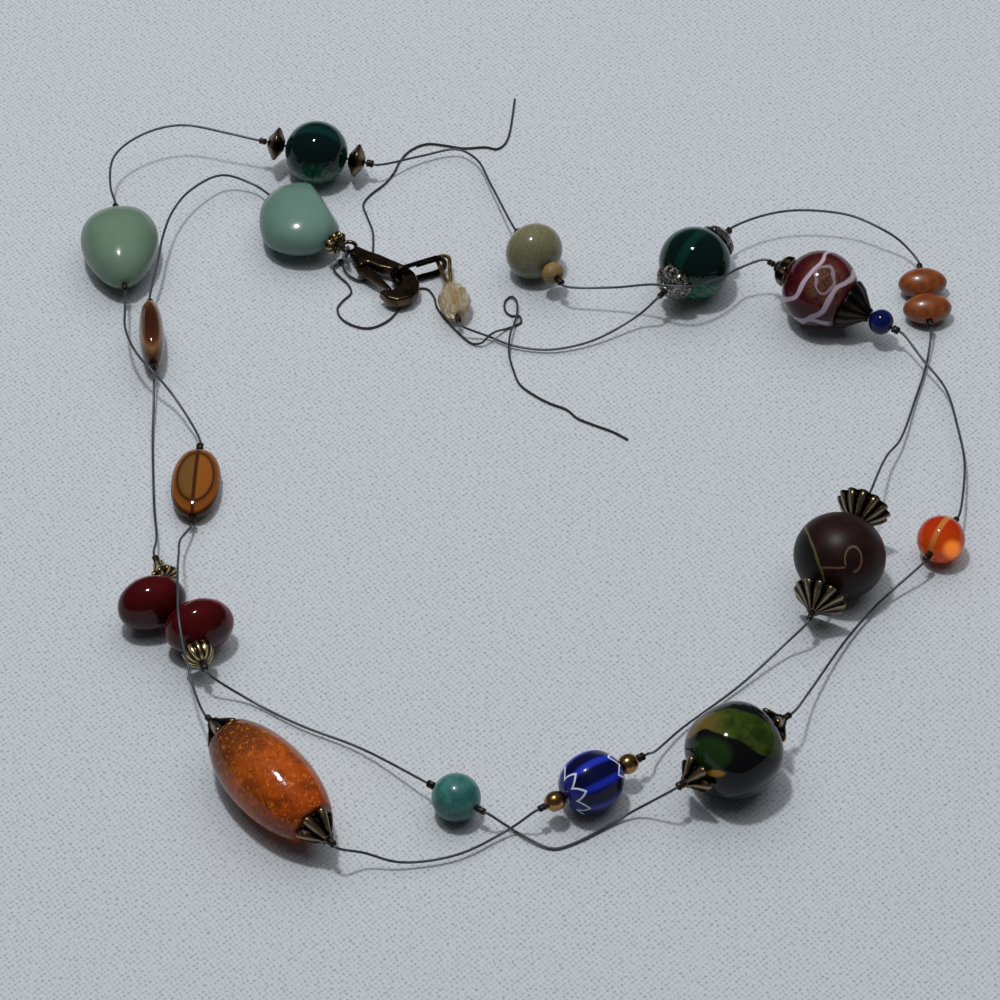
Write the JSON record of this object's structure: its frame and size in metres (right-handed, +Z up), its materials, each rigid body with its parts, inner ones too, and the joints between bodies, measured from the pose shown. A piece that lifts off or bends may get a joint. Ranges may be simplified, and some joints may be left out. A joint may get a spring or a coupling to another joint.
{
  "type": "beaded_necklace",
  "caption": "Long necklace of mixed glass, stone and metal beads crimped in groups on dark wire, lying twice round, with a lobster clasp",
  "frame": {"origin": "middle of the necklace's footprint on the table, without the loose thread tails; Z up", "axes": "X to the right along the necklace's width, Y away from the viewer towards the clasp's side, Z up"},
  "size_m": [0.1628, 0.1888, 0.0162],
  "materials": {
    "aqua_glass": "translucent grey-green sea glass, tumbled, glossy",
    "light_green_glass": "translucent pale green sea glass, tumbled, glossy",
    "topaz_glass": "clear brown topaz glass, polished",
    "dark_red_glass": "dark red glass, polished",
    "turquoise_stone": "blue-green stone, satin polish",
    "green_black_glass": "black lampwork glass with olive-green swirls under clear glass, glossy",
    "orange_red_glass": "transparent orange-red glass, glossy",
    "cobalt_glass": "opaque cobalt blue glass, glossy",
    "maroon_glass": "maroon lampwork glass with pale wavy stripes, glossy",
    "yellow_glass": "opaque yellow-tan glass, matte",
    "taupe_glass": "translucent grey-olive glass, satin",
    "dark_green_glass": "very dark green glass, glossy",
    "orange_glass": "mottled orange and brown glass, glossy",
    "gold_metal": "gold-plated brass, worn",
    "chevron_glass": "blue layered glass with white zigzag ends, satin",
    "brown_stone": "dark brown stone with thin pale lines, matte",
    "orange_stone": "orange-brown waxy stone, satin",
    "champagne_crystal": "faceted champagne crystal, polished",
    "silver_metal": "antique silver-plated, patina in the grooves",
    "bronze_metal": "dark antique bronze, rubbed bright on the ridges",
    "clasp_metal": "brown antique bronze, smooth",
    "coated_wire": "dark grey nylon-coated steel cable with dark crimps and a gold-wound end",
    "black_thread": "black cotton sewing thread"
  },
  "bodies": {
    "string": {"aqua_nugget": "aqua_glass", "gold_spacer": "gold_metal", "topaz_bead_on_edge": "topaz_glass", "red_pebble_1": "dark_red_glass", "red_pebble_2": "dark_red_glass", "gold_cone_cap": "gold_metal", "gold_fluted_cap": "gold_metal", "turquoise_bead": "turquoise_stone", "green_black_bead": "green_black_glass", "dark_flower_cap": "bronze_metal", "dark_flower_cap_2": "bronze_metal", "orange_red_bead": "orange_red_glass", "red_white_bead": "maroon_glass", "fluted_cone_cap": "bronze_metal", "cobalt_bead": "cobalt_glass", "bronze_flower_cap": "bronze_metal", "taupe_bead": "taupe_glass", "yellow_bead": "yellow_glass", "dark_green_bead_1": "dark_green_glass", "bicone_cap": "bronze_metal", "bicone_cap_2": "bronze_metal", "light_green_nugget": "light_green_glass", "topaz_bead_flat": "topaz_glass", "orange_barrel": "orange_glass", "barrel_flower_cap": "bronze_metal", "barrel_flower_cap_2": "bronze_metal", "chevron_bead": "chevron_glass", "gold_bead": "gold_metal", "gold_bead_2": "gold_metal", "brown_bead": "brown_stone", "shell_cap": "bronze_metal", "flared_shell_cap": "bronze_metal", "orange_disc": "orange_stone", "orange_disc_2": "orange_stone", "dark_green_bead_2": "dark_green_glass", "silver_filigree_cap": "silver_metal", "silver_filigree_cap_2": "silver_metal", "crystal_bead": "champagne_crystal", "clasp_hook": "clasp_metal", "clasp_link": "bronze_metal", "beading_wire_first_turn": "coated_wire", "beading_wire_second_turn": "coated_wire", "thread_knot": "black_thread", "thread_lower_tail": "black_thread", "thread_upper_tail": "black_thread"},
    "lever": {"clasp_lever": "clasp_metal"}
  },
  "joints": [
    {"name": "clasp_lever_hinge", "type": "hinge", "parent": "string", "child": "lever", "pos_m": [-0.0284, 0.05478, 0.0024], "axis": [0, 0, 1], "range_deg": [0, 11], "stiffness_Nm_per_rad": 0.002}
  ]
}
